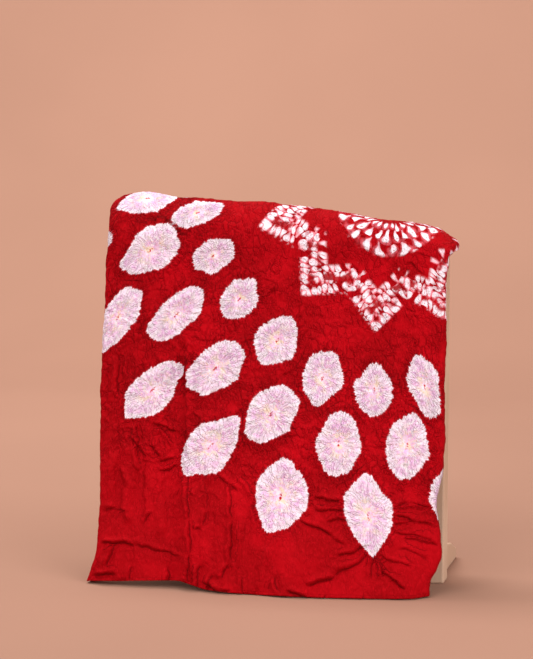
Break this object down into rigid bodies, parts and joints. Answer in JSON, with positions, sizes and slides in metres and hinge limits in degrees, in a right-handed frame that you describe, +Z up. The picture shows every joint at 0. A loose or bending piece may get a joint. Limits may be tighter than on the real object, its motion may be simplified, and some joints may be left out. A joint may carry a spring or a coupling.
{
  "type": "bandhani cloth over a display board stand",
  "caption": "Crinkled tie-dyed cloth draped over the rail of an upright display board on rear feet, its front falling forward to the floor.",
  "frame": {"origin": "middle of the board's bottom face, on the floor", "axes": "+Z up, -Y out of the front of the cloth, +X to the right as seen from the front"},
  "size_m": [0.5839, 0.3599, 0.6278],
  "materials": {
    "dyed_cloth": "crinkled tie-dyed cloth, deep red with undyed white ovals and dots",
    "painted_board": "matt cream paint on board"
  },
  "bodies": {
    "root": {"cloth": "dyed_cloth", "board": "painted_board", "crest_rail": "painted_board", "foot_left": "painted_board", "foot_right": "painted_board"}
  },
  "joints": []
}
